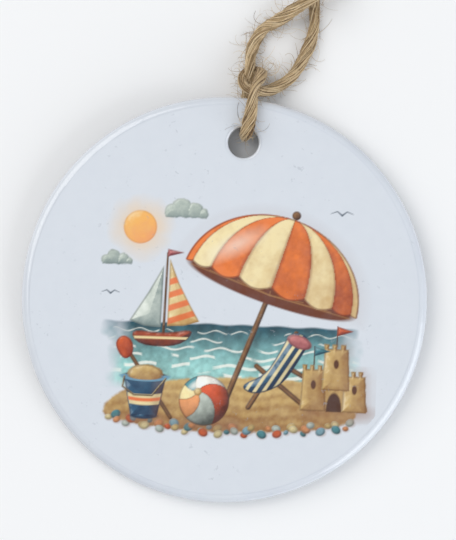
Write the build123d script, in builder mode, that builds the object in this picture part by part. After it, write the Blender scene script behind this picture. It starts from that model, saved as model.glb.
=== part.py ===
from build123d import *

import os
from math import pi, radians, tan

# Souvenir ornament: a flat glazed ceramic disc that lies on its back, hung on a hitched twine loop.
# Millimetres. The origin is the middle of the disc, +Z points out of the printed face, and +Y points
# from the disc's middle to its hanging hole.

# Disc
DISC_DIAMETER = 76.0
DISC_THICKNESS = 3.2
RIM_ROUNDING = 1.5
ROUNDING_LIMIT = 0.47
HOLE_DIAMETER = 5.75
HOLE_OFFSET = 29.6
HOLE_ROUNDING = 0.5

# Print coat
COAT_THICKNESS = 0.08
COAT_RIM_MARGIN = 0.1
COAT_HOLE_MARGIN = 0.1

# Twine
TWINE_DIAMETER = 2.0
BEND_SHARE = 0.45
HITCH_CLEARANCE = 0.4
HITCH_RADIUS = 2.6
HITCH_LEFT = 2.7
HITCH_RIGHT = 2.0
HITCH_HEIGHT = -1.1
KNOT_RADIUS = 2.7
KNOT_LENGTH = 5.6
KNOT_ROUNDING = 1.1
KNOT_PLACE = (9.6, 84.0, -2.45)

half_thickness = DISC_THICKNESS / 2
disc_radius = DISC_DIAMETER / 2
hole_radius = HOLE_DIAMETER / 2
twine_radius = TWINE_DIAMETER / 2
# The rim's rounding, limited to a share of the wall that it is cut from
rim_rounding = min(RIM_ROUNDING, ROUNDING_LIMIT * DISC_THICKNESS)
hitch_place = (0.0, disc_radius + HITCH_CLEARANCE + HITCH_RADIUS, HITCH_HEIGHT)

# Routes of the twine, point by point
THROUGH_HOLE = [
    (0.7, 40.7, 0.3),
    (0.8, 38.3, 2.9),
    (0.3, 31.0, 2.85),
    (0.2, 31.0, -2.8),
    (-0.2, 36.1, -2.75),
    (-0.5, 40.2, -2.5),
]
LEFT_LIMB = [
    (-0.5, 44.2, -2.95),
    (-0.7, 46.8, -3.05),
    (-0.1, 49.3, -3.1),
    (1.3, 51.6, -3.15),
    (3.9, 53.6, -2.8),
    (6.6, 55.8, -1.4),
    (9.0, 57.8, -0.4),
    (11.3, 59.7, -0.4),
    (13.4, 62.5, -1.7),
    (15.0, 66.4, -3.2),
    (15.6, 70.9, -3.75),
    (14.6, 75.2, -3.85),
    (12.6, 79.0, -3.7),
    (10.7, 82.4, -3.0),
]
RIGHT_LIMB = [
    (3.4, 40.3, -2.0),
    (5.8, 41.5, -2.7),
    (7.7, 43.4, -2.9),
    (8.9, 45.9, -3.0),
    (9.8, 48.3, -3.1),
    (10.4, 50.7, -3.15),
    (10.7, 53.1, -3.2),
    (10.5, 55.6, -3.3),
    (9.9, 58.7, -3.4),
    (8.5, 62.5, -3.5),
    (6.6, 66.6, -3.6),
    (5.5, 71.2, -3.75),
    (5.9, 75.6, -3.9),
    (7.2, 79.2, -3.75),
    (8.5, 82.4, -3.0),
]
TAIL_A = [
    (8.4, 85.6, -3.0),
    (6.9, 88.6, -4.1),
    (6.2, 92.0, -4.35),
    (6.9, 95.2, -4.45),
]
TAIL_B = [
    (10.8, 85.6, -3.0),
    (12.6, 88.2, -4.1),
    (13.7, 91.3, -4.3),
    (13.3, 94.4, -4.4),
]


def bend_radii(points):
    """The radius at each inner point: as large as its two runs allow."""
    radii = []
    for before, here, after in zip(points, points[1:], points[2:]):
        run_in = Vector(*here) - Vector(*before)
        run_out = Vector(*after) - Vector(*here)
        half_turn = radians(run_in.get_angle(run_out)) / 2
        radii.append(BEND_SHARE * min(run_in.length, run_out.length) / tan(half_turn))
    return radii


def twine(label, points):
    """A tube of twine along a hand-laid route, with its bends printed and its volume compared."""
    radii = bend_radii(points)
    with BuildPart() as strand:
        with BuildLine() as route:
            FilletPolyline(*points, radius=radii)
        path = route.wires()[0]
        with BuildSketch(Plane(origin=path @ 0, z_dir=path % 0)):
            Circle(twine_radius)
        sweep(path=path)
    strand.part.label = label
    expected = pi * twine_radius**2 * path.length
    print(label, "length", round(path.length, 1), "radii", [round(r, 1) for r in radii])
    print("  volume over section times length", round(strand.part.volume / expected, 4))
    export_step(strand.part, f"parts/{label}.step")
    return strand


def knot_form(label, start, length, radius):
    """A knot's outer shape: a round bar with rounded ends, which runs from its start plane."""
    with BuildPart() as knot:
        with BuildSketch(start):
            Circle(radius)
        extrude(amount=length)
        fillet(knot.edges().filter_by(GeomType.CIRCLE), KNOT_ROUNDING)
    knot.part.label = label
    export_step(knot.part, f"parts/{label}.step")
    return knot


os.makedirs("parts", exist_ok=True)

# The ceramic blank
with BuildPart() as ceramic_disc:
    with BuildSketch(Plane.XY.offset(-half_thickness)):
        Circle(disc_radius)
        with Locations((0, HOLE_OFFSET)):
            Circle(hole_radius, mode=Mode.SUBTRACT)
    extrude(amount=DISC_THICKNESS)
    circles = ceramic_disc.edges().filter_by(GeomType.CIRCLE)
    fillet(circles.filter_by(lambda edge: edge.radius > hole_radius + 1), rim_rounding)
    circles = ceramic_disc.edges().filter_by(GeomType.CIRCLE)
    fillet(circles.filter_by(lambda edge: edge.radius < hole_radius + 1), HOLE_ROUNDING)
ceramic_disc.part.label = "ceramic_disc"
export_step(ceramic_disc.part, "parts/ceramic_disc.step")

# The film that carries the picture, on the flat part of the front face
with BuildPart() as print_coat:
    with BuildSketch(Plane.XY.offset(half_thickness)):
        Circle(disc_radius - rim_rounding - COAT_RIM_MARGIN)
        with Locations((0, HOLE_OFFSET)):
            Circle(hole_radius + HOLE_ROUNDING + COAT_HOLE_MARGIN, mode=Mode.SUBTRACT)
    extrude(amount=COAT_THICKNESS)
print_coat.part.label = "print_coat"
export_step(print_coat.part, "parts/print_coat.step")

# The twine: its strand through the hole, the hitch at the rim, the loop, the end knot and the tails
twine_through_hole = twine("twine_through_hole", THROUGH_HOLE)
hitch_start = Vector(*hitch_place) - Vector(HITCH_LEFT, 0, 0)
rim_hitch = knot_form(
    "rim_hitch", Plane(origin=hitch_start, z_dir=(1, 0, 0)), HITCH_LEFT + HITCH_RIGHT, HITCH_RADIUS
)
twine_left_limb = twine("twine_left_limb", LEFT_LIMB)
twine_right_limb = twine("twine_right_limb", RIGHT_LIMB)
knot_start = Vector(*KNOT_PLACE) - Vector(0, KNOT_LENGTH / 2, 0)
end_knot = knot_form(
    "end_knot", Plane(origin=knot_start, z_dir=(0, 1, 0)), KNOT_LENGTH, KNOT_RADIUS
)
twine_tail_a = twine("twine_tail_a", TAIL_A)
twine_tail_b = twine("twine_tail_b", TAIL_B)
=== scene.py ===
import math

import bmesh
import bpy
import numpy as np
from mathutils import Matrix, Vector
from mathutils.geometry import delaunay_2d_cdt


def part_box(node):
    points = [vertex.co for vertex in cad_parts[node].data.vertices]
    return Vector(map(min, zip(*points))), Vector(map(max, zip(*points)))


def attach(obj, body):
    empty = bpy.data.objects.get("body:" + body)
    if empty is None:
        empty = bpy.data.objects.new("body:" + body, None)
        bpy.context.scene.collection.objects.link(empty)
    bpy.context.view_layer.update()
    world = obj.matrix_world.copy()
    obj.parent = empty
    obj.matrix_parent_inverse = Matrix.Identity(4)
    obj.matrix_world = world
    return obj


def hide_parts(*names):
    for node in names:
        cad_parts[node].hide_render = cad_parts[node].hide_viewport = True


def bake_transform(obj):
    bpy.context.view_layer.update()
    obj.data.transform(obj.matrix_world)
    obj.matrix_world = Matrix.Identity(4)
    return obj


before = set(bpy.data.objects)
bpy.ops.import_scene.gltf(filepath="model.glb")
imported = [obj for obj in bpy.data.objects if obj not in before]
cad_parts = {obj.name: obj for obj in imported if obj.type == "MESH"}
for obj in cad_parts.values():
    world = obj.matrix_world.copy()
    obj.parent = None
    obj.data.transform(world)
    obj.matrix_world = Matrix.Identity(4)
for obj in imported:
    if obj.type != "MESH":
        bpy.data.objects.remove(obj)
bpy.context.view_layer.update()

# A flat glazed ceramic ornament with a printed seaside picture, lying on its back, on a hitched loop of
# jute twine. Metres, in the frame of the CAD: the disc's middle is the origin, +Z comes out of the printed
# face and +Y points to the hanging hole. The picture, the fibres and the routes are laid out in millimetres.
MM = 0.001

# ----------------------------------------------------------
# Sizes in millimetres, from the frame where it gives them
# ----------------------------------------------------------
disc_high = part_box("ceramic_disc")[1]
coat_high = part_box("print_coat")[1]
DISC_RADIUS = disc_high.x / MM
HALF_THICKNESS = disc_high.z / MM
COAT_RADIUS = coat_high.x / MM
COAT_TOP = coat_high.z / MM
HOLE_OFFSET = 29.6
HOLE_RADIUS = 2.875
HOLE_ROUNDING = 0.5
RIM_ROUNDING = 1.5

# The ornament rests on its lower edge and on the twine under its back, so the table is a slight slope.
TABLE_SLOPE = 0.0297
TABLE_AT_EDGE = -HALF_THICKNESS
EDGE_CONTACT_Y = -(DISC_RADIUS - RIM_ROUNDING)

# The way the picture and the camera are turned against the disc: their up leans from +Y towards -X.
CAMERA_LEAN = math.radians(6.9)
PICTURE_LEAN = math.radians(4.6)
CAMERA_LOOKS_AT = (0.0, 5.6)
VIEW_HEIGHT = 101.3
CAMERA_DISTANCE = 420.0


def table_height(y):
    """The table's height under a point y along the disc, in millimetres."""
    return TABLE_AT_EDGE - TABLE_SLOPE * (y - EDGE_CONTACT_Y)


# ----------------------------------------------------------
# Shader sockets as Python values
# ----------------------------------------------------------
class Value:
    """A shader socket that takes part in Python arithmetic."""

    def __init__(self, shop, socket):
        self.shop = shop
        self.socket = socket

    def _maths(self, operation, other):
        return self.shop.make("ShaderNodeMath", {"operation": operation}, {0: self, 1: other})

    def __add__(self, other):
        return self._maths("ADD", other)

    __radd__ = __add__

    def __mul__(self, other):
        return self._maths("MULTIPLY", other)

    def most(self, other):
        return self._maths("MAXIMUM", other)


class Shop:
    """One material under construction. make() is the only way that a node comes into it."""

    def __init__(self, name):
        self.material = bpy.data.materials.new(name)
        self.material.use_nodes = True
        self.tree = self.material.node_tree
        self.tree.nodes.clear()
        self.surface = self.tree.nodes.new("ShaderNodeBsdfPrincipled")
        out = self.tree.nodes.new("ShaderNodeOutputMaterial")
        self.tree.links.new(self.surface.outputs[0], out.inputs["Surface"])

    def make(self, kind, settings=None, inputs=None, output=0):
        node = self.tree.nodes.new(kind)
        for key, value in (settings or {}).items():
            if key == "stops":
                self._stops(node.color_ramp, value)
            else:
                setattr(node, key, value)
        for key, value in (inputs or {}).items():
            self.feed(node.inputs[key], value)
        return Value(self, node.outputs[output])

    def _stops(self, ramp, stops):
        while len(ramp.elements) < len(stops):
            ramp.elements.new(0.5)
        for element, (place, colour) in zip(ramp.elements, stops):
            element.position = place
            element.color = (*colour, 1.0)

    def feed(self, socket, value):
        if isinstance(value, Value):
            self.tree.links.new(value.socket, socket)
        elif isinstance(value, tuple) and socket.type == "RGBA" and len(value) == 3:
            socket.default_value = (*value, 1.0)
        else:
            socket.default_value = value

    def finish(self, **inputs):
        for key, value in inputs.items():
            self.feed(self.surface.inputs[key.replace("_", " ")], value)
        return self.material

    def place(self, scale=(1.0, 1.0, 1.0), shift=(0.0, 0.0, 0.0), source="Object"):
        coordinates = self.make("ShaderNodeTexCoord", output=source)
        return self.make(
            "ShaderNodeMapping", {}, {"Vector": coordinates, "Scale": scale, "Location": shift}
        )

    def noise(self, where, scale, detail=3.0, roughness=0.55):
        return self.make(
            "ShaderNodeTexNoise",
            {},
            {"Vector": where, "Scale": scale, "Detail": detail, "Roughness": roughness},
        )

    def ramp(self, factor, *stops):
        return self.make("ShaderNodeValToRGB", {"stops": stops}, {"Fac": factor})

    def between(self, factor, low, high):
        """The factor stretched so that low gives 0 and high gives 1, and clamped."""
        return self.make(
            "ShaderNodeMapRange",
            {"clamp": True},
            {"Value": factor, "From Min": low, "From Max": high},
        )

    def mix(self, factor, first, second):
        return self.make("ShaderNodeMix", {"data_type": "RGBA"}, {0: factor, 6: first, 7: second}, 2)

    def bump(self, height, strength, distance):
        return self.make(
            "ShaderNodeBump",
            {},
            {"Height": height, "Strength": strength, "Distance": distance},
            "Normal",
        )


# ----------------------------------------------------------
# Materials
# ----------------------------------------------------------
GLAZE_WHITE = (0.700, 0.735, 0.785)
GLAZE_SHADE = (0.655, 0.690, 0.750)
GLAZE_WARM = (0.720, 0.745, 0.775)


def glaze_look(shop, picture=None):
    """Base colour, roughness and normal of the glaze: faint clouding, grey specks and orange peel."""
    where = shop.place()
    clouds = shop.noise(where, 55.0, 4.0)
    fine = shop.noise(where, 420.0, 3.0)
    colour = shop.ramp(clouds, (0.30, GLAZE_SHADE), (0.55, GLAZE_WHITE), (0.78, GLAZE_WARM))
    if picture is not None:
        colour = picture
    speck_field = shop.noise(where, 900.0, 2.0)
    speck_region = shop.between(shop.noise(where, 120.0, 2.0), 0.45, 0.62)
    specks = shop.between(speck_field, 0.66, 0.74) * speck_region
    colour = shop.mix(specks * 0.34, colour, (0.36, 0.39, 0.44))
    mottle = shop.between(fine, 0.35, 0.7)
    colour = shop.mix(mottle * 0.05, colour, (0.42, 0.47, 0.56))
    peel = shop.noise(where, 260.0, 2.0)
    roughness = 0.16 + shop.between(clouds, 0.3, 0.7) * 0.07
    normal = shop.bump(peel + fine * 0.25, 0.16, 0.00012)
    return colour, roughness, normal


def glazed_ceramic():
    shop = Shop("glazed_ceramic")
    colour, roughness, normal = glaze_look(shop)
    shop.surface.inputs["Coat Roughness"].default_value = 0.06
    shop.surface.inputs["Specular IOR Level"].default_value = 0.55
    return shop.finish(Base_Color=colour, Roughness=roughness, Normal=normal, Coat_Weight=0.5)


def picture_coat():
    shop = Shop("picture_coat")
    painted = shop.make("ShaderNodeAttribute", {"attribute_name": "Paint"}, output="Color")
    colour, roughness, normal = glaze_look(shop, painted)
    shop.surface.inputs["Coat Roughness"].default_value = 0.08
    shop.surface.inputs["Specular IOR Level"].default_value = 0.5
    return shop.finish(Base_Color=colour, Roughness=roughness, Normal=normal, Coat_Weight=0.4)


JUTE_DARK = (0.180, 0.100, 0.042)
JUTE_MID = (0.500, 0.345, 0.172)
JUTE_PALE = (0.880, 0.705, 0.455)


def jute():
    """Strands of jute: each has its own tone, which also carries the painted light of the twine's halves and
    the painted shade of its core, with streaks along it and fine fibre relief.
    """
    shop = Shop("jute")
    tone = shop.make("ShaderNodeAttribute", {"attribute_name": "Tone"}, output="Fac")
    streak_place = shop.place(scale=(3.0, 90.0, 1.0), source="UV")
    streaks = shop.noise(streak_place, 4.0, 4.0, 0.65)
    blotches = shop.noise(shop.place(), 330.0, 3.0)
    factor = tone * 0.72 + streaks * 0.22 + blotches * 0.12
    colour = shop.ramp(factor, (0.20, JUTE_DARK), (0.46, JUTE_MID), (0.80, JUTE_PALE))
    normal = shop.bump(streaks, 0.55, 0.00012)
    shop.surface.inputs["Sheen Weight"].default_value = 0.25
    shop.surface.inputs["Sheen Roughness"].default_value = 0.45
    roughness = 0.62 + streaks * 0.2
    return shop.finish(Base_Color=colour, Roughness=roughness, Normal=normal)


def loose_fibre():
    shop = Shop("loose_fibre")
    tone = shop.make("ShaderNodeAttribute", {"attribute_name": "Tone"}, output="Fac")
    colour = shop.ramp(tone, (0.1, (0.30, 0.19, 0.09)), (0.9, (0.72, 0.56, 0.35)))
    return shop.finish(Base_Color=colour, Roughness=0.5)


# ----------------------------------------------------------
# The picture's painter: signed distances in millimetres, and layers of colour laid one on another
# ----------------------------------------------------------
def lattice(x, y, seed):
    """Pseudo-random numbers from 0 to 1, one for each whole-number place."""
    value = np.sin(x * 127.1 + y * 311.7 + seed * 74.7) * 43758.5453
    return value - np.floor(value)


def soft_noise(x, y, scale, seed, octaves=3):
    """Value noise about 0.5, with its largest lumps scale millimetres across."""
    total = np.zeros_like(x)
    weight, weights = 1.0, 0.0
    for octave in range(octaves):
        u, v = x / scale + 13.7 * octave, y / scale - 7.3 * octave
        i, j = np.floor(u), np.floor(v)
        fu, fv = u - i, v - j
        fu, fv = fu * fu * (3 - 2 * fu), fv * fv * (3 - 2 * fv)
        low = lattice(i, j, seed) * (1 - fu) + lattice(i + 1, j, seed) * fu
        high = lattice(i, j + 1, seed) * (1 - fu) + lattice(i + 1, j + 1, seed) * fu
        total += weight * (low * (1 - fv) + high * fv)
        weights += weight
        weight, scale = weight * 0.55, scale * 0.5
    return total / weights


def colour_of(red, green, blue):
    """A linear colour from display values of 0 to 255."""
    share = np.array((red, green, blue), float) / 255
    return np.where(share <= 0.04045, share / 12.92, ((share + 0.055) / 1.055) ** 2.4)


def rounded_outline(points, rounds=3):
    """A closed outline with its corners cut again and again until it is smooth."""
    points = np.array(points, float)
    for _ in range(rounds):
        after = np.roll(points, -1, axis=0)
        points = np.stack((points * 0.75 + after * 0.25, points * 0.25 + after * 0.75), 1)
        points = points.reshape(-1, 2)
    return points


class Painter:
    """A picture on the points x, y, in millimetres, with a colour for each."""

    def __init__(self, x, y, ground):
        self.shape = x.shape
        self.x, self.y = x.ravel(), y.ravel()
        self.colour = np.tile(np.array(ground, float), (len(self.x), 1))
        self.grain = soft_noise(self.x, self.y, 0.9, 5, 3) - 0.5
        self.wash = soft_noise(self.x, self.y, 3.6, 9, 3) - 0.5

    def circle(self, cx, cy, radius):
        return np.hypot(self.x - cx, self.y - cy) - radius

    def ellipse(self, cx, cy, rx, ry, turn=0.0):
        c, s = math.cos(math.radians(turn)), math.sin(math.radians(turn))
        u = (self.x - cx) * c + (self.y - cy) * s
        v = -(self.x - cx) * s + (self.y - cy) * c
        return (np.hypot(u / rx, v / ry) - 1) * min(rx, ry)

    def outline(self, points):
        """Signed distance to a closed polygon, negative inside it."""
        points = np.array(points, float)
        distance = np.full(len(self.x), 1e9)
        inside = np.zeros(len(self.x), bool)
        reach = (points.min(0) - 2.5, points.max(0) + 2.5)
        near = (self.x > reach[0][0]) & (self.x < reach[1][0])
        near &= (self.y > reach[0][1]) & (self.y < reach[1][1])
        x, y = self.x[near], self.y[near]
        far, within = distance[near], inside[near]
        for (ax, ay), (bx, by) in zip(points, np.roll(points, -1, axis=0)):
            ex, ey = bx - ax, by - ay
            wx, wy = x - ax, y - ay
            t = np.clip((wx * ex + wy * ey) / max(ex * ex + ey * ey, 1e-12), 0, 1)
            far = np.minimum(far, np.hypot(wx - ex * t, wy - ey * t))
            crosses = (ay > y) != (by > y)
            if ey != 0:
                within ^= crosses & (x < ax + (y - ay) * ex / ey)
        distance[near], inside[near] = far, within
        return np.where(inside, -distance, distance)

    def stroke(self, points, start_width, end_width):
        """Signed distance to a line through the points, whose width changes along it."""
        points = np.array(points, float)
        best = np.full(len(self.x), 1e9)
        steps = len(points) - 1
        for k in range(steps):
            (ax, ay), (bx, by) = points[k], points[k + 1]
            ex, ey = bx - ax, by - ay
            wx, wy = self.x - ax, self.y - ay
            t = np.clip((wx * ex + wy * ey) / max(ex * ex + ey * ey, 1e-12), 0, 1)
            along = (k + t) / steps
            width = start_width + (end_width - start_width) * along
            best = np.minimum(best, np.hypot(wx - ex * t, wy - ey * t) - width / 2)
        return best

    def lay(self, distance, colour, soft=0.16, strength=1.0):
        """Colour over every point with a distance below 0, with an edge soft millimetres wide."""
        cover = np.clip(0.5 - distance / soft, 0, 1) * strength
        self.colour += (np.asarray(colour) - self.colour) * cover[:, None]

    def shade(self, distance, amount, soft=0.5, tint=(0.32, 0.16, 0.09)):
        """Darkens towards a tint where the distance is below 0."""
        self.lay(distance, np.array(tint), soft, amount)

    def body(self, distance, colour, dark, light=(-0.5, 0.8), depth=2.2, edge=0.16, line=0.55):
        """A solid form: its colour, darker away from the light and at its edge, with a painted grain."""
        gradient = self.slope(distance)
        rise = np.clip(1 + distance / depth, 0, 1)
        facing = gradient[0] * light[0] + gradient[1] * light[1]
        tone = np.clip(0.5 + 0.55 * facing * rise + self.grain * 0.45 + self.wash * 0.4, 0, 1)
        base = np.asarray(colour, float)
        mixed = np.asarray(dark)[None, :] * (1 - tone[:, None]) + base * tone[:, None]
        pale = base * 0.55 + 0.45
        glow = np.clip((tone - 0.78) * 2.2, 0, 0.65)[:, None]
        mixed = mixed * (1 - glow) + pale * glow
        self.lay(distance, mixed, edge)
        rim = np.abs(distance + 0.12) - 0.16
        self.lay(rim, np.asarray(dark) * 0.55, 0.22, line)

    def slope(self, distance):
        """The direction in which a distance grows, from its differences on the lattice of points."""
        grid = distance.reshape(self.shape)
        down, across = np.gradient(np.clip(grid, -9, 9))
        length = np.hypot(down, across) + 1e-9
        return (across / length).ravel(), (down / length).ravel()


SAND = colour_of(222, 196, 138)
SAND_DARK = colour_of(158, 118, 70)
CORAL = colour_of(226, 118, 66)
CORAL_DARK = colour_of(150, 62, 34)
CREAM = colour_of(240, 224, 176)
CREAM_DARK = colour_of(196, 158, 100)
TEAL = colour_of(98, 160, 168)
TEAL_DARK = colour_of(40, 92, 108)
DENIM = colour_of(66, 112, 140)
DENIM_DARK = colour_of(22, 50, 82)
PINK = colour_of(222, 150, 146)
PINK_DARK = colour_of(146, 78, 84)
PEACH = colour_of(238, 172, 120)
WOOD = colour_of(176, 134, 88)
WOOD_DARK = colour_of(92, 60, 36)
MIST = colour_of(206, 214, 204)
MIST_DARK = colour_of(140, 154, 152)
SUN = colour_of(244, 196, 112)
WHITE = colour_of(246, 244, 236)


def paint_sky(p):
    """A low sun with a warm glow, and two small clouds."""
    glow = p.circle(-19.6, 16.4, 3.3)
    p.lay(glow - 1.6 - p.wash * 2.5, SUN, 3.6, 0.35)
    p.body(glow, SUN, PEACH, depth=3.0, line=0.25)
    for cx, cy, size in ((-10.6, 19.6, 1.05), (-24.0, 9.6, 0.75)):
        puffs = ((-2.6, 0.0, 1.5), (-0.8, 0.7, 2.0), (1.5, 0.3, 1.7), (3.1, -0.2, 1.1))
        cloud = np.min([p.circle(cx + a * size, cy + b * size, r * size) for a, b, r in puffs], axis=0)
        cloud = np.maximum(cloud, cy - 1.0 * size - p.y)
        p.body(cloud + p.grain * 0.5, MIST, MIST_DARK, depth=1.6, line=0.3, edge=0.3)


def paint_sea(p):
    """A band of sea behind the beach, which fades out at both ends, with crests along it."""
    fade = np.clip((25.2 - np.abs(p.x + 0.6) + 5.0 * p.wash) / 4.5, 0, 1)
    fade *= np.clip((p.y + 16.0) / 2.0, 0, 1)
    top = -2.4 + 0.12 * np.sin(p.x * 0.9)
    sea = np.maximum(p.y - top, -17.0 - p.y)
    depth = np.clip((top - p.y) / 9.0, 0, 1)[:, None]
    water = TEAL_DARK * (1 - depth) + colour_of(158, 202, 198) * depth
    water = water * (1 + 0.9 * p.wash + 0.5 * p.grain)[:, None]
    p.lay(sea, np.clip(water, 0, 1), 0.4, fade)
    for row in range(6):
        level = -4.0 - 1.7 * row
        wave = level + 0.34 * np.sin(p.x * (1.25 - 0.12 * row) + row * 2.1)
        crest = np.abs(p.y - wave) - (0.10 + 0.05 * row) - 0.12 * p.grain
        broken = soft_noise(p.x, p.y * 0.3, 3.4, 21 + row, 2) - 0.50
        p.lay(np.maximum(crest, broken * 3.0), WHITE, 0.2, 0.75 * fade)


def paint_boat(p):
    """A small sailing boat on the water at the left."""
    hull = rounded_outline([(-21.0, -3.9), (-19.2, -7.2), (-10.8, -7.2), (-7.6, -3.4), (-14.0, -4.7)], 2)
    mast = p.stroke([(-14.2, -4.8), (-13.9, 11.4)], 0.5, 0.32)
    main_sail = [(-13.4, 10.2), (-11.4, 5.4), (-9.0, 1.0), (-7.2, -2.0), (-10.2, -2.9), (-13.5, -3.1)]
    fore_sail = [(-14.6, 8.8), (-17.4, 3.6), (-21.0, -2.2), (-18.0, -3.2), (-14.8, -3.4)]
    p.body(mast, WOOD, WOOD_DARK)
    sail = p.outline(main_sail)
    p.body(sail, CREAM, CREAM_DARK, depth=3.0)
    for k in range(4):
        band = np.abs(p.y - 0.35 * p.x - (2.5 + 2.6 * k)) - 0.62
        p.lay(np.maximum(sail + 0.1, band), CORAL * (1 + 0.5 * p.wash)[:, None], 0.25, 0.85)
    p.body(p.outline(fore_sail), colour_of(226, 232, 222), MIST_DARK, depth=3.0)
    boards = p.outline(hull)
    p.body(boards, colour_of(190, 96, 58), colour_of(92, 40, 28), depth=1.8)
    p.lay(np.maximum(boards + 0.1, np.abs(p.y + 5.35 - 0.01 * p.x) - 0.24), CREAM, 0.2, 0.9)
    pennant = [(-13.9, 12.2), (-10.7, 11.6), (-13.9, 10.7)]
    p.body(p.outline(pennant), PINK, PINK_DARK)


def paint_beach(p):
    """The heap of sand that everything stands on, with scattered pebbles along its foot."""
    outline = rounded_outline(
        [(-26.6, -21.4), (-24.0, -17.0), (-16.5, -14.4), (-7.0, -13.2), (4.0, -12.6), (14.0, -13.0),
         (21.5, -15.0), (26.0, -19.8), (20.0, -22.4), (8.0, -23.6), (-6.0, -23.9), (-18.0, -23.0)], 3
    )
    sand = p.outline(outline) + 0.5 * p.grain
    ripple = 0.5 + 0.5 * np.sin(p.y * 3.1 + 1.6 * np.sin(p.x * 0.42) + 4.0 * p.wash)
    tone = np.clip((p.y + 24.5) / 11.0, 0, 1) * 0.62 + 0.20 * ripple + 0.55 * p.grain + 0.25 * p.wash
    tone = np.clip(tone, 0, 1)[:, None]
    p.lay(sand, SAND_DARK * (1 - tone) + SAND * tone, 0.5)
    p.shade(np.maximum(sand, p.y + 21.6 + p.wash), 0.25, 1.8)
    tints = (CREAM, TEAL, PEACH, MIST, CORAL, colour_of(150, 188, 200), SAND)
    for k in range(46):
        share = (k + 0.5) / 46
        x = -25.0 + 49.0 * share + 0.5 * math.sin(k * 2.3)
        y = -21.5 - 2.0 * math.sin(math.pi * share) + 0.75 * math.sin(k * 1.7)
        size = 0.42 + 0.36 * abs(math.sin(k * 1.13 + 0.4))
        tint = tints[k % len(tints)]
        stone = p.ellipse(x, y, size * 1.25, size, 40 * math.sin(k))
        p.shade(p.ellipse(x + 0.12, y - 0.25, size * 1.35, size), 0.35, 0.4)
        p.body(stone, tint, tint * 0.42, depth=0.6, line=0.4)


def paint_parasol(p):
    """A striped parasol that leans over the beach, with its pole in the sand."""
    lean = math.radians(-17)
    cx, cy = 6.6, 4.2
    c, s = math.cos(lean), math.sin(lean)
    u = (p.x - cx) * c + (p.y - cy) * s
    v = -(p.x - cx) * s + (p.y - cy) * c
    span, rise, gores = 18.0, 15.4, 8
    foot = (-1.2, -17.0)
    tip = (cx - s * (rise + 0.9), cy + c * (rise + 0.9))
    p.body(p.stroke([foot, (cx, cy)], 1.15, 1.0), WOOD, WOOD_DARK, light=(-0.9, 0.2), depth=0.6)
    dome = (np.hypot(u / span, np.maximum(v, 0) / rise) - 1) * rise
    angle = np.arcsin(np.clip(u / span / np.sqrt(np.clip(1 - (v / rise) ** 2, 0.02, 1)), -1, 1))
    place = (angle / math.pi + 0.5) * gores
    gore = np.floor(place)
    across = place - gore
    hem = 0.2 - 1.25 * np.sin(math.pi * np.clip(across, 0, 1)) * np.clip(1.15 - (u / span) ** 2, 0.2, 1)
    cloth = np.maximum(dome, hem + 0.9 - v)
    under = np.maximum((np.hypot(u / (span * 0.96), (v - 1.0) / 3.2) - 1) * 3.2, v - 1.6)
    p.lay(np.maximum(under, -v - 2.2), colour_of(120, 66, 40), 0.3)
    for k in range(1, gores):
        end = math.sin((k / gores - 0.5) * math.pi) * span
        tipped = (cx + c * end - s * 0.4, cy + s * end + c * 0.4)
        p.lay(np.maximum(p.stroke([(cx, cy - 0.4), tipped], 0.16, 0.16), under), WOOD, 0.2, 0.8)
    striped = (gore % 2 == 0)[:, None]
    lit = np.clip(0.86 - 0.42 * (u / span) + 0.20 * (v / rise) - 0.45 * np.abs(across - 0.5), 0, 1)
    lit = np.clip(lit + 0.55 * p.wash + 0.35 * p.grain, 0, 1)[:, None]
    orange = CORAL_DARK * (1 - lit) + colour_of(240, 142, 74) * lit
    pale = CREAM_DARK * (1 - lit) + colour_of(246, 232, 188) * lit
    p.lay(cloth, np.where(striped, orange, pale), 0.2)
    seam = np.maximum(np.minimum(across, 1 - across) * 3.0 - 0.16, cloth + 0.1)
    p.lay(seam, CORAL_DARK * 0.8, 0.3, 0.5)
    p.shade(np.maximum(cloth, 0.55 - u / span), 0.22, 5.0)
    shine = np.clip(0.5 - p.ellipse(cx - 7.0, cy + 9.4, 4.6, 1.5, 28) / 2.4, 0, 1) * 0.5
    p.colour += (WHITE - p.colour) * (shine * np.clip(-cloth * 2, 0, 1))[:, None]
    p.lay(np.abs(cloth + 0.12) - 0.14, CORAL_DARK * 0.5, 0.22, 0.65)
    p.body(p.circle(tip[0], tip[1], 0.85), WOOD, WOOD_DARK, depth=0.8)


def paint_chair(p):
    """A folding deck chair with a striped sling, under the parasol."""
    rails = ([(3.2, -18.6), (12.2, -3.6)], [(4.6, -10.4), (14.6, -18.2)], [(9.3, -9.6), (15.2, -12.8)])
    for rail in rails:
        p.body(p.stroke(rail, 1.0, 0.9), WOOD, WOOD_DARK, light=(-0.6, 0.7), depth=0.5)
    sling = [
        (11.2, -3.0), (15.4, -4.4), (12.6, -9.6), (9.6, -14.2),
        (4.2, -16.2), (1.2, -14.4), (6.2, -12.2), (8.6, -8.4),
    ]
    cloth = p.outline(rounded_outline(sling, 2))
    p.body(cloth, DENIM, DENIM_DARK, depth=3.2)
    for k in range(5):
        stripe = np.abs(p.x - 0.62 * p.y - (10.4 + 1.75 * k)) - 0.36
        p.lay(np.maximum(cloth + 0.2, stripe), CREAM * (1 + 0.5 * p.wash)[:, None], 0.25, 0.8)
    cushion = p.ellipse(12.9, -5.3, 2.5, 1.25, -20)
    p.body(cushion, PINK, PINK_DARK, depth=1.4)


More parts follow.
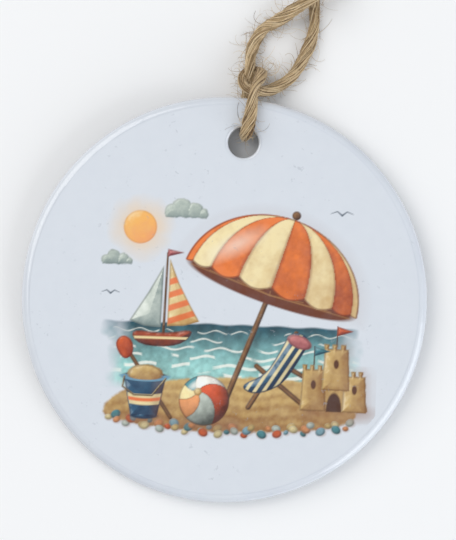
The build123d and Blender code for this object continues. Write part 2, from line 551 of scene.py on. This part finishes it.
def paint_castle(p):
    """A sand castle of three towers with pennants, at the right."""
    p.shade(p.ellipse(20.2, -19.2, 8.0, 1.9), 0.4, 1.6)
    walls = (
        (20.2, -18.6, 6.0, 5.6),
        (16.0, -18.8, 2.3, 8.2),
        (24.2, -18.9, 2.2, 7.2),
        (20.4, -14.6, 2.5, 8.2),
    )
    for cx, foot, half, high in walls:
        outline = [(cx - half * 1.12, foot), (cx - half * 0.94, foot + high)]
        teeth = max(2, round(half * 1.3))
        for k in range(teeth):
            left = cx - half + 2 * half * k / teeth
            right = cx - half + 2 * half * (k + 0.58) / teeth
            outline += [(left, foot + high + 0.9), (right, foot + high + 0.9)]
            outline += [(right, foot + high), (cx - half + 2 * half * (k + 1) / teeth, foot + high)]
        outline += [(cx + half * 0.94, foot + high), (cx + half * 1.12, foot)]
        wall = p.outline(outline) + 0.22 * p.grain
        p.body(wall, SAND, SAND_DARK, light=(-0.8, 0.45), depth=1.9)
        p.shade(np.maximum(wall, 0.25 * half - (p.x - cx)), 0.32, half * 1.2)
    arch = np.maximum(p.ellipse(20.2, -18.4, 1.5, 3.3), -18.9 - p.y)
    p.lay(arch, colour_of(92, 58, 38), 0.25)
    for x, y in ((16.0, -13.6), (24.2, -14.4), (20.4, -9.4)):
        p.lay(p.ellipse(x, y, 0.5, 0.9), colour_of(104, 66, 42), 0.2)
    for x, y, tint, dark in ((20.4, -5.5, CORAL, CORAL_DARK), (16.0, -9.6, TEAL, TEAL_DARK)):
        p.lay(p.stroke([(x, y), (x, y + 3.6)], 0.26, 0.2), WOOD_DARK, 0.16)
        p.body(p.outline([(x, y + 3.6), (x + 3.1, y + 2.7), (x, y + 1.7)]), tint, dark, depth=0.9)


def paint_ball(p):
    """A beach ball of coloured panels in front of the pole."""
    cx, cy, radius = -5.6, -17.6, 5.0
    ball = p.circle(cx, cy, radius)
    p.shade(p.ellipse(cx + 1.0, cy - radius + 0.5, 5.6, 1.3), 0.45, 1.4)
    pole = (cx - 1.3, cy + 1.7)
    angle = np.arctan2(p.y - pole[1], p.x - pole[0]) + 0.16 * np.hypot(p.x - pole[0], p.y - pole[1])
    panel = np.floor((angle / (2 * math.pi) % 1) * 6).astype(int) % 6
    tints = np.array((colour_of(232, 112, 70), WHITE, TEAL, CREAM, PEACH, MIST))
    height = np.sqrt(np.clip(1 - ((p.x - cx) ** 2 + (p.y - cy) ** 2) / radius**2, 0, 1))
    light = -0.5 * (p.x - cx) / radius + 0.6 * (p.y - cy) / radius + 0.62 * height
    tone = np.clip(0.38 + 0.75 * light + 0.3 * p.grain, 0.16, 1.1)[:, None]
    p.lay(ball, np.clip(tints[panel] * tone, 0, 1), 0.16)
    edges = np.abs((angle / (2 * math.pi) % 1) * 6 - np.round((angle / (2 * math.pi) % 1) * 6))
    away = np.hypot(p.x - pole[0], p.y - pole[1])
    p.lay(np.maximum(edges * away - 0.12, ball + 0.1), WOOD_DARK, 0.2, 0.4)
    p.body(p.circle(*pole, 0.75), CREAM, CREAM_DARK, depth=0.7)
    p.lay(p.ellipse(cx - 1.9, cy + 3.0, 1.3, 0.6, 35), WHITE, 0.7, 0.75)
    p.lay(np.abs(ball + 0.1) - 0.12, WOOD_DARK, 0.2, 0.5)


def paint_bucket(p):
    """A toy bucket and its spade, at the left."""
    p.shade(p.ellipse(-17.4, -21.4, 4.6, 1.1), 0.45, 1.2)
    p.body(p.stroke([(-12.2, -21.2), (-20.8, -8.6)], 0.75, 0.75), WOOD, WOOD_DARK, depth=0.5)
    blade = rounded_outline([(-21.9, -10.3), (-20.0, -9.0), (-20.2, -6.2), (-22.3, -5.0), (-23.9, -7.0)], 2)
    p.body(p.outline(blade), CORAL, CORAL_DARK, depth=1.5)
    rim = p.ellipse(-17.5, -13.2, 4.2, 0.95)
    p.body(rim, DENIM_DARK, DENIM_DARK * 0.5, depth=0.6)
    heap = p.ellipse(-17.5, -12.8, 3.5, 1.9) + 0.2 * p.grain
    p.body(heap, SAND, SAND_DARK, depth=1.6)
    sides = [(-21.7, -13.2), (-20.1, -21.2), (-14.9, -21.2), (-13.3, -13.2)]
    belly = np.maximum(p.outline(sides), -rim)
    bucket = np.minimum(belly, p.ellipse(-17.5, -21.1, 2.6, 0.6))
    p.body(bucket, DENIM, DENIM_DARK, light=(-0.9, 0.2), depth=2.6)
    sag = p.y + 17.6 + 0.35 * (1 - ((p.x + 17.5) / 3.4) ** 2)
    p.lay(np.maximum(bucket + 0.15, np.abs(sag) - 1.05), CREAM * (1 + 0.5 * p.wash)[:, None], 0.22, 0.9)
    p.lay(np.maximum(bucket + 0.15, np.abs(sag) - 0.34), CORAL, 0.22, 0.9)
    p.shade(np.maximum(bucket, -15.6 - p.x), 0.35, 1.8)
    lip = np.maximum(np.abs(rim) - 0.17, p.y + 13.0)
    p.lay(lip, colour_of(120, 162, 186), 0.18)
    bail = [(-21.6, -13.4), (-21.9, -15.4), (-19.6, -17.0), (-16.0, -17.0), (-13.4, -13.6)]
    p.body(p.stroke(bail, 0.3, 0.3), CREAM, WOOD_DARK, depth=0.3)


def paint_gulls(p):
    """Two far gulls, each two arcs."""
    for x, y, size in ((20.4, 20.2, 1.4), (-25.0, 3.0, 1.1)):
        for side in (-1, 1):
            wing = [(x, y), (x + side * size * 0.7, y + size * 0.55), (x + side * size * 1.6, y + size * 0.2)]
            p.lay(p.stroke(wing, 0.34, 0.10), colour_of(92, 104, 116), 0.16, 0.85)


PICTURE_MIDDLE = (2.2, -2.4)
PICTURE_SCALE = 0.94
INK_DENSITY = 1.2
PICTURE_HALF = (28.6, 25.6)
PICTURE_PITCH = 0.178
COAT_BORDER = 0.6
WELD_DISTANCE = 0.002
RIM_SEGMENTS = 256
HOLE_SEGMENTS = 64
JOIN_TOLERANCE = 1e-7
COAT_HOLE_RADIUS = HOLE_RADIUS + HOLE_ROUNDING + 0.1


def painted_lattice():
    """The picture's points in its own upright frame, and the painted colour of each."""
    columns = int(2 * PICTURE_HALF[0] / PICTURE_PITCH) + 1
    rows = int(2 * PICTURE_HALF[1] / PICTURE_PITCH) + 1
    x, y = np.meshgrid(
        np.linspace(-PICTURE_HALF[0], PICTURE_HALF[0], columns),
        np.linspace(-PICTURE_HALF[1], PICTURE_HALF[1], rows),
    )
    painter = Painter(x, y, GLAZE_WHITE)
    for step in (
        paint_sky, paint_sea, paint_boat, paint_beach, paint_parasol, paint_chair,
        paint_castle, paint_ball, paint_bucket, paint_gulls,
    ):
        step(painter)
    ground = np.array(GLAZE_WHITE)
    painter.colour = ground * (np.clip(painter.colour, 0.003, 1) / ground) ** INK_DENSITY
    return painter, rows, columns


# ----------------------------------------------------------
# Mesh helpers
# ----------------------------------------------------------
def new_piece(name, points, faces, material, smooth=True):
    """A mesh object from points in millimetres."""
    mesh = bpy.data.meshes.new(name)
    mesh.from_pydata((np.asarray(points, float) * MM).tolist(), [], faces)
    mesh.materials.append(material)
    mesh.shade_smooth() if smooth else mesh.shade_flat()
    mesh.validate()
    piece = bpy.data.objects.new(name, mesh)
    bpy.context.scene.collection.objects.link(piece)
    return piece


def set_point_colour(mesh, name, colours):
    layer = mesh.color_attributes.new(name, "FLOAT_COLOR", "POINT")
    values = np.ones((len(mesh.vertices), 4), np.float32)
    values[:, :3] = colours
    layer.data.foreach_set("color", values.ravel())


def set_point_value(mesh, name, values):
    layer = mesh.attributes.new(name, "FLOAT", "POINT")
    layer.data.foreach_set("value", np.asarray(values, np.float32))


def weld(mesh):
    """Joins the points of a mesh that lie at one place."""
    joined = bmesh.new()
    joined.from_mesh(mesh)
    bmesh.ops.remove_doubles(joined, verts=joined.verts, dist=WELD_DISTANCE * MM)
    joined.to_mesh(mesh)
    joined.free()


def turned(x, y, lean):
    """Points of an upright frame, in the disc's frame."""
    c, s = math.cos(lean), math.sin(lean)
    return x * c - y * s, x * s + y * c


# ----------------------------------------------------------
# The disc's front: the picture, and the plain coat round it
# ----------------------------------------------------------
def picture_pieces(material):
    """The picture's own dense sheet, joined to a coarse sheet that runs to the coat's rim and its hole."""
    painter, rows, columns = painted_lattice()
    x, y = painter.x * PICTURE_SCALE + PICTURE_MIDDLE[0], painter.y * PICTURE_SCALE + PICTURE_MIDDLE[1]
    x, y = turned(x, y, PICTURE_LEAN)
    index = np.arange(rows * columns).reshape(rows, columns)
    quads = np.stack((index[:-1, :-1], index[:-1, 1:], index[1:, 1:], index[1:, :-1]), -1)
    kept = (np.hypot(x, y)[quads] < COAT_RADIUS - COAT_BORDER).all(-1)
    quads = quads[kept]
    used, quads = np.unique(quads, return_inverse=True)
    quads = quads.reshape(-1, 4)
    dense = np.stack((x[used], y[used]), 1)
    ways = np.concatenate([quads[:, [k, (k + 1) % 4]] for k in range(4)])
    forth, back = ways @ (len(used), 1), ways @ (1, len(used))
    border_edges = ways[~np.isin(forth, back)]
    border, border_edges = np.unique(border_edges, return_inverse=True)
    loops = [tuple(int(k) for k in edge) for edge in border_edges.reshape(-1, 2)]
    flat = [*dense[border]]
    circles = []
    edges = ((0.0, COAT_RADIUS, RIM_SEGMENTS), (HOLE_OFFSET, COAT_HOLE_RADIUS, HOLE_SEGMENTS))
    for middle_y, radius, count in edges:
        around = 2 * math.pi * np.arange(count) / count
        start = len(flat)
        circles.append(np.stack((radius * np.cos(around), middle_y + radius * np.sin(around)), 1))
        flat += [*circles[-1]]
        loops += [(start + k, start + (k + 1) % count) for k in range(count)]
    made = delaunay_2d_cdt([Vector(q) for q in flat], loops, [], 0, JOIN_TOLERANCE)
    plain = np.array([tuple(q) for q in made[0]])
    faces = []
    for face in made[2]:
        middle = plain[list(face)].mean(0)
        in_hole = math.hypot(middle[0], middle[1] - HOLE_OFFSET) < COAT_HOLE_RADIUS * 0.995
        px, py = turned(middle[0], middle[1], -PICTURE_LEAN)
        px, py = (px - PICTURE_MIDDLE[0]) / PICTURE_SCALE, (py - PICTURE_MIDDLE[1]) / PICTURE_SCALE
        column = math.floor((px / PICTURE_HALF[0] + 1) / 2 * (columns - 1))
        row = math.floor((py / PICTURE_HALF[1] + 1) / 2 * (rows - 1))
        in_picture = 0 <= column < columns - 1 and 0 <= row < rows - 1 and kept[row, column]
        if not (in_hole or in_picture):
            faces.append([k + len(dense) for k in face])
    level = np.concatenate((dense, plain))
    points = np.column_stack((level, np.full(len(level), COAT_TOP)))
    for circle, outwards in zip(circles, (1, -1)):
        top = len(points) + np.arange(len(circle))
        low = top + len(circle)
        for height in (COAT_TOP, HALF_THICKNESS):
            points = np.concatenate((points, np.column_stack((circle, np.full(len(circle), height)))))
        skirt = np.stack((low, np.roll(low, -1), np.roll(top, -1), top), 1)
        faces += skirt[:, ::outwards].tolist()
    piece = new_piece("print_picture", points, [*quads.tolist(), *faces], material, smooth=False)
    colours = np.tile(np.array(GLAZE_WHITE), (len(points), 1))
    colours[: len(dense)] = np.clip(painter.colour[used], 0.003, 0.95)
    colours[border] = GLAZE_WHITE
    set_point_colour(piece.data, "Paint", colours)
    weld(piece.data)
    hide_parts("print_coat")
    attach(piece, "disc")


# ----------------------------------------------------------
# Twine
# ----------------------------------------------------------
# The two halves of the one length, each from the middle of the hole to its frayed end, in millimetres.
BACK_HALF = [
    (0.2, 31.1, 0.1),
    (0.2, 31.0, -2.8),
    (-0.2, 36.1, -2.75),
    (-0.4, 39.6, -2.4),
    (-0.5, 42.0, -1.5),
    (-0.5, 44.4, -1.2),
    (-0.6, 46.8, -2.6),
    (-0.2, 49.3, -3.1),
    (1.2, 51.8, -3.15),
    (3.9, 53.6, -2.8),
    (6.6, 55.8, -1.4),
    (9.0, 57.8, -0.4),
    (11.3, 59.7, -0.4),
    (13.4, 62.5, -1.7),
    (15.0, 66.4, -3.2),
    (15.6, 70.9, -3.75),
    (14.6, 75.2, -3.85),
    (12.3, 79.0, -3.8),
    (10.4, 82.0, -3.7),
    (10.4, 85.4, -3.8),
    (12.4, 88.2, -4.2),
    (13.7, 91.3, -4.3),
    (13.3, 94.4, -4.4),
]
FRONT_HALF = [
    (0.2, 31.1, -0.1),
    (0.3, 31.0, 2.85),
    (0.8, 35.4, 2.95),
    (0.8, 38.4, 2.9),
    (0.9, 40.3, 2.3),
    (1.7, 42.0, 1.2),
    (2.0, 43.2, -0.7),
    (0.7, 43.6, -2.7),
    (-1.2, 43.0, -2.8),
    (-1.8, 41.6, -1.2),
    (-1.2, 40.0, 0.4),
    (0.6, 39.5, 0.5),
    (2.9, 39.6, -0.8),
    (5.8, 41.4, -2.5),
    (7.8, 43.4, -2.9),
    (8.9, 45.9, -3.0),
    (9.8, 48.3, -3.1),
    (10.4, 50.7, -3.15),
    (10.7, 53.1, -3.2),
    (10.5, 55.6, -3.3),
    (9.9, 58.7, -3.4),
    (8.5, 62.5, -3.5),
    (6.6, 66.6, -3.6),
    (5.5, 71.2, -3.75),
    (6.0, 75.6, -3.9),
    (7.4, 79.2, -3.8),
    (8.3, 81.6, -3.2),
    (10.2, 82.4, -1.6),
    (12.6, 82.8, -2.9),
    (10.2, 83.4, -4.2),
    (7.0, 83.8, -3.0),
    (9.4, 84.6, -1.4),
    (12.3, 85.0, -2.8),
    (9.8, 85.6, -4.2),
    (7.4, 87.6, -4.2),
    (6.2, 91.4, -4.35),
    (6.9, 95.0, -4.45),
]
RING_PITCH = 0.42
CORE_SHARE = 0.80
CORE_SIDES = 14
# Painted shade: the core under the strands is coloured dark, so that the gaps between the strands show as
# shaded.
CORE_PAINTED_SHADE_TONE = 0.10
STRAND_COUNT = 68
STRAND_SIDES = 4
FIBRE_SIDES = 3
FIBRE_TAPER = 0.55
FUZZ_COUNT = 1000
TABLE_GAP = 0.03
FACE_GAP = 0.02


def route_points(name, control):
    """Points along the smooth line that a route's control points give, in millimetres."""
    curve = bpy.data.curves.new(name, "CURVE")
    curve.dimensions = "3D"
    spline = curve.splines.new("NURBS")
    spline.points.add(len(control) - 1)
    for point, place in zip(spline.points, control):
        point.co = (*(Vector(place) * MM), 1.0)
    spline.order_u = 3
    spline.use_endpoint_u = True
    spline.resolution_u = 16
    holder = bpy.data.objects.new(name, curve)
    mesh = bpy.data.meshes.new_from_object(holder)
    line = np.array([tuple(v.co) for v in mesh.vertices]) / MM
    bpy.data.meshes.remove(mesh)
    bpy.data.objects.remove(holder)
    bpy.data.curves.remove(curve)
    return line


def evenly(line, pitch):
    """The line again at an even pitch, with the distance along it."""
    along = np.concatenate(([0], np.cumsum(np.linalg.norm(np.diff(line, axis=0), axis=1))))
    places = np.linspace(0, along[-1], int(round(along[-1] / pitch)) + 1)
    return np.stack([np.interp(places, along, line[:, k]) for k in range(3)], 1), places


def frames_along(line):
    """Directions along and across a line that don't twist."""
    ahead = np.gradient(line, axis=0)
    ahead /= np.linalg.norm(ahead, axis=1)[:, None]
    side = np.zeros_like(line)
    start = np.cross(ahead[0], (1.0, 0.2, 0.1))
    side[0] = start / np.linalg.norm(start)
    for k in range(1, len(line)):
        s = side[k - 1] - ahead[k] * (side[k - 1] @ ahead[k])
        side[k] = s / np.linalg.norm(s)
    return ahead, side, np.cross(ahead, side)


def wander(places, scale, seed):
    """A smooth wandering number about 0, along a line."""
    row = np.full_like(places, seed * 3.17)
    return 2 * soft_noise(places, row, scale, seed, 3) - 1


def keep_out(points):
    """Points pressed out of the table and out of the disc's flat faces."""
    points = points.copy()
    floor = table_height(points[:, 1]) + TABLE_GAP
    points[:, 2] = np.maximum(points[:, 2], floor)
    reach = np.hypot(points[:, 0], points[:, 1])
    from_hole = np.hypot(points[:, 0], points[:, 1] - HOLE_OFFSET)
    front, back = COAT_TOP + FACE_GAP, -HALF_THICKNESS - FACE_GAP
    face = (reach < DISC_RADIUS - 0.9) & (from_hole > HOLE_RADIUS + 0.5)
    face &= np.abs(points[:, 2]) < front
    points[face, 2] = np.where(points[face, 2] > 0, front, back)
    return points


def tube(line, frames, radius, sides, phase=0.0):
    """Points and faces of a tube about a line; radius is one number for each ring, or for each point."""
    _, side, other = frames
    angle = phase + 2 * math.pi * np.arange(sides) / sides
    ring = np.cos(angle)[None, :, None] * side[:, None] + np.sin(angle)[None, :, None] * other[:, None]
    radius = np.asarray(radius)
    radius = radius[:, None] if radius.ndim == 1 else radius
    points = (line[:, None] + ring * radius[..., None]).reshape(-1, 3)
    count = len(line)
    index = np.arange(count * sides).reshape(count, sides)
    right = np.roll(index, -1, axis=1)
    quads = np.stack((index[:-1], right[:-1], right[1:], index[1:]), -1).reshape(-1, 4)
    caps = [index[0, ::-1].tolist(), index[-1].tolist()]
    return points, quads, caps


class Bundle:
    """Tubes gathered into one mesh, with a tone for each point and a UV along and round each tube."""

    def __init__(self):
        self.points, self.faces, self.tones, self.uvs = [], [], [], []
        self.count = 0

    def add(self, line, frames, radius, sides, tone, phase=0.0):
        points, quads, caps = tube(line, frames, radius, sides, phase)
        points = keep_out(points)
        self.faces += (quads + self.count).tolist()
        self.faces += [[k + self.count for k in cap] for cap in caps]
        self.points.append(points)
        self.tones.append(np.repeat(np.broadcast_to(tone, len(line)), sides))
        along = np.concatenate(([0], np.cumsum(np.linalg.norm(np.diff(line, axis=0), axis=1))))
        u = np.repeat(along / 20.0 + len(self.points) * 0.37, sides)
        v = np.tile(np.arange(sides) / sides, len(line)) + len(self.points) * 0.61
        self.uvs.append(np.stack((u, v), 1))
        self.count += len(points)

    def piece(self, name, material):
        points = np.concatenate(self.points)
        made = new_piece(name, points, self.faces, material)
        set_point_value(made.data, "Tone", np.concatenate(self.tones))
        uv = np.concatenate(self.uvs)
        layer = made.data.uv_layers.new(name="UVMap")
        corner = np.zeros(len(made.data.loops), int)
        made.data.loops.foreach_get("vertex_index", corner)
        layer.data.foreach_set("uv", uv[corner].astype(np.float32).ravel())
        return made


def thickness_along(places, seed, is_front):
    """The twine's uneven radius: thick where it is loose, pinched where it is drawn over the rim."""
    radius = 1.06 + 0.13 * wander(places, 9.0, seed) + 0.06 * wander(places, 2.6, seed + 4)
    if is_front:
        radius += 0.22 * np.exp(-(((places - 3.2) / 2.4) ** 2))
        radius -= 0.20 * np.exp(-(((places - 10.0) / 2.2) ** 2))
        radius -= 0.16 * np.exp(-(((places - 20.0) / 6.5) ** 2))
    else:
        radius -= 0.14 * np.exp(-(((places - 10.0) / 5.0) ** 2))
    end = places[-1] - places
    return radius * np.clip(0.55 + end / 5.0, 0.55, 1.0)


def twine_bundle(name, control, seed, is_front, material):
    """One half of the twine: a core, and strands that lie round it with a slow, uneven twist."""
    line, places = evenly(route_points(name, control), RING_PITCH)
    frames = frames_along(line)
    _, side, other = frames
    radius = thickness_along(places, seed, is_front)
    twist = 2 * math.pi * (places / 25.0 + 0.30 * wander(places, 14.0, seed + 9))
    # Painted light: the back half's strands are painted paler and the front half's darker, standing in for
    # light from the upper left. The jute is the same in both halves.
    shade = 0.04 if is_front else 0.24
    rng = np.random.default_rng(seed)
    bundle = Bundle()
    around = 2 * math.pi * np.arange(CORE_SIDES) / CORE_SIDES
    lobes = 1 + 0.07 * np.cos(2 * (around[None, :] - twist[:, None]))
    # The dark core is painted shade in the gaps between the strands.
    bundle.add(line, frames, radius[:, None] * CORE_SHARE * lobes, CORE_SIDES, CORE_PAINTED_SHADE_TONE)
    for k in range(STRAND_COUNT):
        angle = 2 * math.pi * k / STRAND_COUNT + twist + 0.55 * wander(places, 7.0, seed + 20 + k)
        lobe = 1 + 0.08 * np.cos(2 * (angle - twist))
        lift = 0.87 + 0.13 * wander(places, 3.4, seed + 80 + k) + 0.045 * rng.standard_normal()
        flare = np.clip(1 - (places[-1] - places) / 6.0, 0, 1) ** 1.5
        spread = 1 + flare * rng.uniform(0.1, 1.3)
        offset = (radius * lobe * lift * spread)[:, None]
        middle = line + offset * (np.cos(angle)[:, None] * side + np.sin(angle)[:, None] * other)
        middle = keep_out(middle)
        thick = 0.075 + 0.075 * rng.random() ** 2 + 0.025 * wander(places, 5.0, seed + 140 + k)
        thick *= np.clip(1 - flare * 0.5, 0.3, 1)
        tone = shade + 0.74 * rng.random() + 0.26 * wander(places, 6.0, seed + 200 + k)
        bundle.add(middle, frames_along(middle), thick, STRAND_SIDES, tone, rng.random())
    return bundle.piece(name, material), line, places, frames, radius


def fibre(bundle, root, out, curl, length, thick, tone, steps=9):
    """One stray fibre from a root: it leaves along out and curls about the direction curl."""
    t = np.linspace(0, 1, steps)
    out = out / np.linalg.norm(out)
    bent = np.cross(curl, out)
    bent = bent / (np.linalg.norm(bent) + 1e-9)
    turn = np.linalg.norm(curl)
    angle = turn * t
    reach = length / turn
    line = root + reach * (np.sin(angle)[:, None] * out + (1 - np.cos(angle))[:, None] * bent)
    bundle.add(line, frames_along(line), thick * (1 - FIBRE_TAPER * t), FIBRE_SIDES, tone)


def stray_fibres(name, line, frames, radius, seed, material):
    """The fuzz of one half: many short hairs near the surface and fewer long ones that stand off."""
    ahead, side, other = frames
    rng = np.random.default_rng(seed)
    bundle = Bundle()
    for _ in range(FUZZ_COUNT):
        i = int(rng.integers(4, len(line) - 4))
        angle = rng.uniform(0, 2 * math.pi)
        normal = math.cos(angle) * side[i] + math.sin(angle) * other[i]
        sense = 1 if rng.random() < 0.62 else -1
        long = rng.random() < 0.20
        lean = rng.uniform(0.25, 1.3) if long else rng.uniform(0.12, 0.6)
        out = sense * ahead[i] + lean * normal + 0.25 * rng.standard_normal(3)
        out[2] *= 0.6
        length = rng.uniform(2.6, 5.6) if long else rng.uniform(0.9, 2.6)
        curl = rng.standard_normal(3) * (1.0 if long else 0.9)
        curl[2] += rng.choice((-1, 1)) * rng.uniform(0.3, 1.5)
        root = line[i] + normal * radius[i] * 0.85
        fibre(bundle, root, out, curl, length, rng.uniform(0.026, 0.050), rng.uniform(0.1, 1.0))
    return bundle.piece(name, material)


def picked_fibres(material):
    """The larger stray hairs at the hitch and the hole, listed one by one, and a tuft of random ones at the
    hitch.
    """
    bundle = Bundle()
    hairs = (
        ((-0.9, 31.4, 1.6), (0.1, -1.0, -0.1), (0.0, 0.0, 1.3), 3.4, 0.036),
        ((-0.2, 45.6, -1.4), (-1.0, 0.9, 0.2), (0.2, 0.0, -0.9), 5.2, 0.034),
        ((-0.9, 41.6, 0.2), (-1.0, 0.5, 0.0), (0.0, 0.1, -1.9), 6.0, 0.032),
        ((-0.9, 48.0, -1.8), (-0.8, -0.9, 0.1), (0.0, 0.2, 1.7), 6.2, 0.032),
        ((1.0, 44.6, -0.6), (1.0, 0.6, 0.2), (0.1, 0.0, 0.8), 4.8, 0.034),
        ((1.0, 46.4, -1.2), (1.0, -0.35, 0.1), (0.0, 0.1, -0.5), 5.4, 0.032),
        ((2.0, 42.8, 0.6), (0.6, 0.9, 0.3), (0.0, 0.2, 1.2), 3.6, 0.032),
        ((4.4, 41.6, -1.3), (0.3, 1.0, 0.2), (0.1, 0.0, 1.1), 4.4, 0.032),
        ((9.4, 45.4, -1.9), (1.0, 0.5, 0.1), (0.0, 0.2, 1.5), 4.2, 0.034),
        ((11.2, 50.4, -2.2), (0.8, -0.8, 0.1), (0.1, 0.1, -1.4), 4.6, 0.032),
        ((9.6, 51.4, -2.2), (-0.9, 0.8, 0.1), (0.0, 0.2, 1.4), 4.8, 0.032),
        ((3.4, 52.0, -2.2), (0.9, -0.9, 0.1), (0.1, 0.1, 1.6), 4.6, 0.032),
    )
    for root, out, curl, length, thick in hairs:
        fibre(bundle, np.array(root), np.array(out), np.array(curl), length, thick, 0.85, 16)
    rng = np.random.default_rng(31)
    for _ in range(17):
        root = np.array((2.3, 44.2, 0.2)) + rng.normal(0, 0.45, 3) * (1, 1, 0.6)
        out = rng.standard_normal(3) * (1, 1, 0.35)
        curl = np.array((0.3 * rng.standard_normal(), 0.3 * rng.standard_normal(), rng.choice((-1, 1)) * 1.0))
        curl *= rng.uniform(3.4, 6.2)
        fibre(bundle, root, out, curl, rng.uniform(3.4, 6.6), 0.026, rng.uniform(0.4, 1.0), 22)
    return bundle.piece("hitch_hairs", material)


def make_twine():
    """Both halves of the twine, their fuzz and the larger hairs, bent across the hitch."""
    jute_material, fibre_material = jute(), loose_fibre()
    halves = (
        ("twine_back_half", BACK_HALF, 11, False, ("twine_left_limb", "twine_tail_b", "rim_hitch")),
        (
            "twine_front_half", FRONT_HALF, 37, True,
            ("twine_through_hole", "twine_right_limb", "end_knot", "twine_tail_a"),
        ),
    )
    hairs = picked_fibres(fibre_material)
    pieces = [hairs]
    for name, control, seed, is_front, nodes in halves:
        piece, line, places, frames, radius = twine_bundle(name, control, seed, is_front, jute_material)
        fuzz = stray_fibres(f"{name}_fuzz", line, frames, radius, seed + 1, fibre_material)
        pieces += [piece, fuzz]
        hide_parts(*nodes)
        tuple(line[0] * MM)
        (line * MM).tolist()
    for piece in pieces:
        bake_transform(piece)


# ----------------------------------------------------------
# Table, light and camera
# ----------------------------------------------------------
TABLE_HALF = 1500.0
SENSOR_WIDTH = 36.0


def sloped(x, y):
    return (x * MM, y * MM, table_height(y) * MM)


def make_table():
    shop = Shop("table")
    seen = shop.make("ShaderNodeLightPath", output="Is Camera Ray")
    seen = seen.most(shop.make("ShaderNodeLightPath", output="Is Glossy Ray"))
    colour = shop.mix(seen, (0.62, 0.62, 0.63), (0.90, 0.90, 0.90))
    shop.finish(Base_Color=colour, Roughness=0.9)
    half = TABLE_HALF
    corners = [(-half, -half), (half, -half), (half, half), (-half, half)]
    mesh = bpy.data.meshes.new("table")
    mesh.from_pydata([sloped(x, y) for x, y in corners], [], [(0, 1, 2, 3)])
    mesh.materials.append(shop.material)
    table = bpy.data.objects.new("table", mesh)
    bpy.context.scene.collection.objects.link(table)


def softbox(name, place, size, power, colour=(1.0, 1.0, 1.0)):
    """A square soft lamp at a place in the camera's upright frame, in millimetres, that faces the disc."""
    lamp = bpy.data.lights.new(name, "AREA")
    lamp.shape = "SQUARE"
    lamp.size = size * MM
    lamp.energy = power
    lamp.color = colour
    holder = bpy.data.objects.new(name, lamp)
    x, y = turned(place[0], place[1], CAMERA_LEAN)
    holder.location = Vector((x, y, place[2])) * MM
    holder.rotation_mode = "QUATERNION"
    holder.rotation_quaternion = (-holder.location).to_track_quat("-Z", "Y")
    bpy.context.scene.collection.objects.link(holder)


def make_light():
    world = bpy.data.worlds.new("sky")
    world.use_nodes = True
    background = world.node_tree.nodes["Background"]
    background.inputs["Color"].default_value = (0.93, 0.96, 1.0, 1.0)
    background.inputs["Strength"].default_value = 0.53
    bpy.context.scene.world = world
    softbox("window_left", (-500.0, 400.0, 580.0), 760.0, 4.4, (1.0, 0.985, 0.96))
    softbox("sky_right", (560.0, -380.0, 300.0), 640.0, 3.5, (0.94, 0.97, 1.0))


def make_camera():
    camera = bpy.data.cameras.new("camera")
    camera.sensor_fit = "AUTO"
    camera.sensor_width = SENSOR_WIDTH
    camera.lens = camera.sensor_width * CAMERA_DISTANCE / VIEW_HEIGHT
    holder = bpy.data.objects.new("camera", camera)
    x, y = CAMERA_LOOKS_AT
    holder.location = Vector((x, y, CAMERA_DISTANCE)) * MM
    holder.rotation_euler = (0.0, 0.0, CAMERA_LEAN)
    camera.clip_start = 0.01
    camera.clip_end = 10.0
    bpy.context.scene.collection.objects.link(holder)
    bpy.context.scene.camera = holder


make_camera()
make_twine()
picture_pieces(picture_coat())
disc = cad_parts["ceramic_disc"]
disc.data.materials.clear()
disc.data.materials.append(glazed_ceramic())
make_table()
make_light()
bpy.context.scene.view_settings.view_transform = "Standard"
